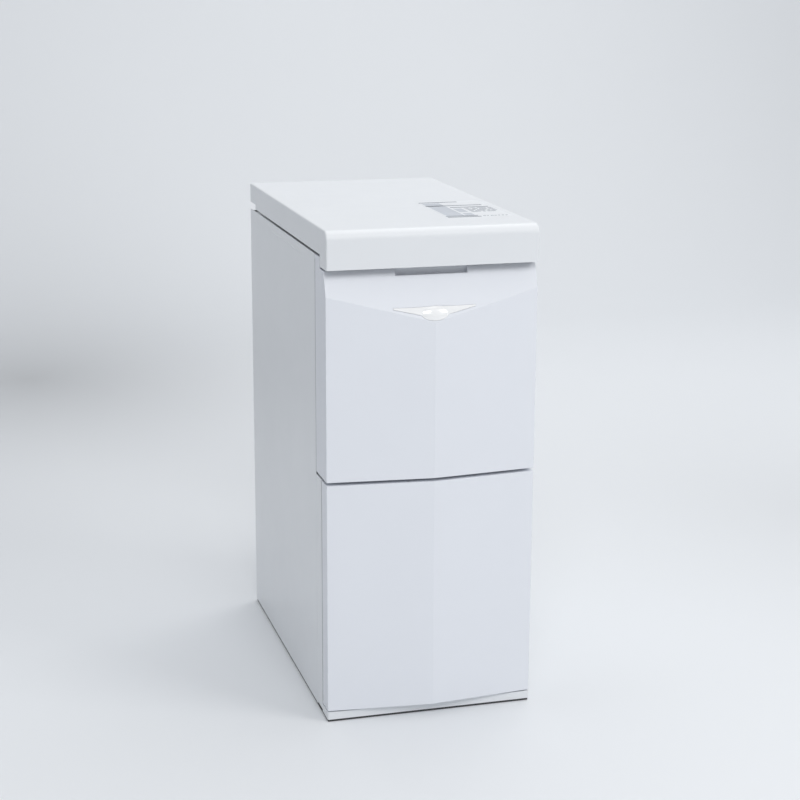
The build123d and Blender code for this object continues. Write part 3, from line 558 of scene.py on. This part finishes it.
def side_bead(side, sign):
    """A shallow pressed bead near the top of one cabinet side."""
    low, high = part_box(f"side_panel_{side}")
    outer = high[0] if sign > 0 else low[0]
    start, end = low[1] + BEAD_START, low[1] + BEAD_END
    middle = high[2] - BEAD_DROP
    shape = bmesh.new()
    rows = []
    for step in range(BEAD_STEPS + 1):
        along = step / BEAD_STEPS
        swell = min(1.0, BEAD_TAPER * along, BEAD_TAPER * (1 - along))
        half = BEAD_HALF * (BEAD_TIP_SHARE + (1 - BEAD_TIP_SHARE) * swell)
        y = start + (end - start) * along
        row = []
        for angle in range(-90, 91, BEAD_ARC_STEP):
            rise = BEAD_RISE * swell * math.cos(math.radians(angle))
            z = middle + half * math.sin(math.radians(angle))
            row.append(shape.verts.new((outer + sign * rise, y, z)))
        rows.append(row)
    for near, far in zip(rows, rows[1:]):
        for index in range(len(near) - 1):
            quad = (near[index], near[index + 1], far[index + 1], far[index])
            shape.faces.new(quad if sign < 0 else quad[::-1])
    obj = mesh_piece(f"side_bead_{side}", shape, "cabinet", "white_enamel")
    smooth_by_angle(obj, BEAD_SHADE_ANGLE)


def gap_shade_seal(name, side, sign, y_range, z_range, inset, thickness):
    """A soft seal strip beside a cabinet opening, with rounded edges. Its dark rubber is partly painted
    shade: it darkens the gap in front of it in place of shadow.
    """
    low, high = cad_box
    outer = (high[0] if sign > 0 else -low[0]) - inset
    shape = bmesh.new()
    inner = outer - thickness
    profile = ((outer, y_range[0]), (outer, y_range[1]), (inner, y_range[1]), (inner, y_range[0]))
    outline = [Vector((sign * x, y, z_range[0])) for x, y in profile]
    prism(shape, outline, Vector((0, 0, z_range[1] - z_range[0])))
    bmesh.ops.recalc_face_normals(shape, faces=shape.faces)
    # partly painted shade: dark rubber that darkens the panel gap in place of shadow
    obj = mesh_piece(f"{name}_{side}", shape, "cabinet", "seal_rubber")
    soften(obj, SHADE_SEAL_ROUNDING, 2)


def under_body_shade_strip():
    """A dark strip under the cabinet's sides and plinth, set back from their faces: painted shade, standing
    in for the shadow in the gap between the body and the floor.
    """
    panel_low, panel_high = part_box("side_panel_left")
    low, high = cad_box
    outer, inner = SHADE_STRIP_SETBACK, SHADE_STRIP_SETBACK + SHADE_STRIP_WIDTH
    front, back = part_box("plinth")[0][1], panel_high[1]
    levels = (SHADE_STRIP_LIFT, panel_low[2])
    shape = bmesh.new()
    plate(shape, (low[0] + outer, low[0] + inner), (front + inner, back - outer), levels)
    plate(shape, (high[0] - inner, high[0] - outer), (front + inner, back - outer), levels)
    plate(shape, (low[0] + outer, high[0] - outer), (front + outer, front + inner), levels)
    # painted shade: a dark strip where the gap under the body is in shadow
    obj = mesh_piece("under_body_shade_strip", shape, "cabinet", "seal_rubber")
    soften(obj, SHADE_STRIP_ROUNDING, 2)


def gap_shade_seals(side, sign):
    """Seal strips behind the ends of the two front panels, partly painted shade: their dark rubber darkens
    the gaps there in place of shadow.
    """
    post_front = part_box(f"front_post_{side}")[0][1]
    fascia_low, fascia_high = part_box("fascia")
    drawer_low, drawer_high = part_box("drawer_front")
    gap_shade_seal(
        "drawer_gap_shade_seal", side, sign,
        (drawer_high[1] + DRAWER_SHADE_SEAL_GAP, post_front),
        (drawer_low[2] + DRAWER_SHADE_SEAL_END, drawer_high[2] - DRAWER_SHADE_SEAL_END),
        DRAWER_SHADE_SEAL_INSET, DRAWER_SHADE_SEAL_WIDTH,
    )
    gap_shade_seal(
        "fascia_gap_shade_seal", side, sign,
        (fascia_high[1] + FASCIA_SHADE_SEAL_NEAR, fascia_high[1] + FASCIA_SHADE_SEAL_FAR),
        (fascia_low[2] + FASCIA_SHADE_SEAL_FOOT, fascia_high[2] - FASCIA_SHADE_SEAL_HEAD),
        FASCIA_SHADE_SEAL_INSET, FASCIA_SHADE_SEAL_WIDTH,
    )


def gear(shape, centre, z_range, tip, root, teeth):
    """Adds a toothed wheel to a bmesh."""
    outline = []
    for tooth in range(teeth):
        for share, is_tip in TOOTH_OUTLINE:
            radius = tip if is_tip else root
            turn = math.tau * (tooth + share) / teeth
            x, y = centre[0] + radius * math.cos(turn), centre[1] + radius * math.sin(turn)
            outline.append(Vector((x, y, z_range[0])))
    prism(shape, outline, Vector((0, 0, z_range[1] - z_range[0])))


def threaded_screw(side):
    """A power screw with its thread cut into the rod, and the sprocket on its foot.

    The thread is left-handed, so that it climbs as the ram rises with the screw's positive turn.
    """
    node = f"power_screw_{side}"
    low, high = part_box(node)
    centre = ((low[0] + high[0]) / 2, (low[1] + high[1]) / 2)
    shape = bmesh.new()
    rows = []
    z = low[2]
    while z < high[2] - THREAD_STEP:
        rows.append(z)
        z += THREAD_STEP
    rows.append(high[2])
    rings = []
    for z in rows:
        ring = []
        plain = z < low[2] + PLAIN_FOOT or z > high[2] - PLAIN_HEAD
        for step in range(SCREW_STEPS):
            turn = math.tau * step / SCREW_STEPS
            wave = math.cos(THREAD_STARTS * turn + math.tau * THREAD_STARTS * z / SCREW_LEAD)
            depth = 0 if plain else THREAD_DEPTH * max(0.0, min(1.0, THREAD_ROOT_SHARE - wave))
            radius = SCREW_RADIUS - depth
            x, y = centre[0] + radius * math.cos(turn), centre[1] + radius * math.sin(turn)
            ring.append(shape.verts.new((x, y, z)))
        rings.append(ring)
    join_rings(shape, rings)
    shape.faces.new(rings[0][::-1])
    shape.faces.new(rings[-1])
    gear(shape, centre, SPROCKET_Z, SPROCKET_RADIUS, SPROCKET_RADIUS - TOOTH_DEPTH, TOOTH_COUNT)
    obj = mesh_piece(f"{node}_threaded", shape, BODY_OF[node], SLOT_OF[node])
    smooth_by_angle(obj, SCREW_SHADE_ANGLE)
    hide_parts(node)


# ---- Assembly -----------------------------------------------------------------------------------
FOLDED_SHEET = (
    "side_panel_left", "side_panel_right", "front_post_left", "front_post_right", "rear_panel", "plinth",
    "top_deck", "filter_cover", "lid_sensor", "hinge_brackets", "lid_liner", "drawer_inner_panel",
    "drawer_side_left", "drawer_side_right", "control_console", "ram_crosshead",
    "latch_housing", "power_inlet", "gearbox", "screw_bearings", "power_nuts", "bag_clips",
    "lid_hinge_leaves", "chamber_rear_wall", "rear_post_left", "rear_post_right",
)
EDGE_ROUNDING = (
    *((node, 0.0004, 2) for node in FOLDED_SHEET),
    ("fascia", 0.0021, 4),
    ("drawer_front", 0.0021, 4),
    ("lid_shell", 0.0012, 3),
    ("waste_bin", 0.0008, 3),
    ("badge", 0.0003, 2),
)
for node, width, segments in EDGE_ROUNDING:
    rounded_copy(node, width, segments)
lid_print()
badge_dome()
under_body_shade_strip()
for side, sign in (("left", -1), ("right", 1)):
    side_bead(side, sign)
    gap_shade_seals(side, sign)
    threaded_screw(side)
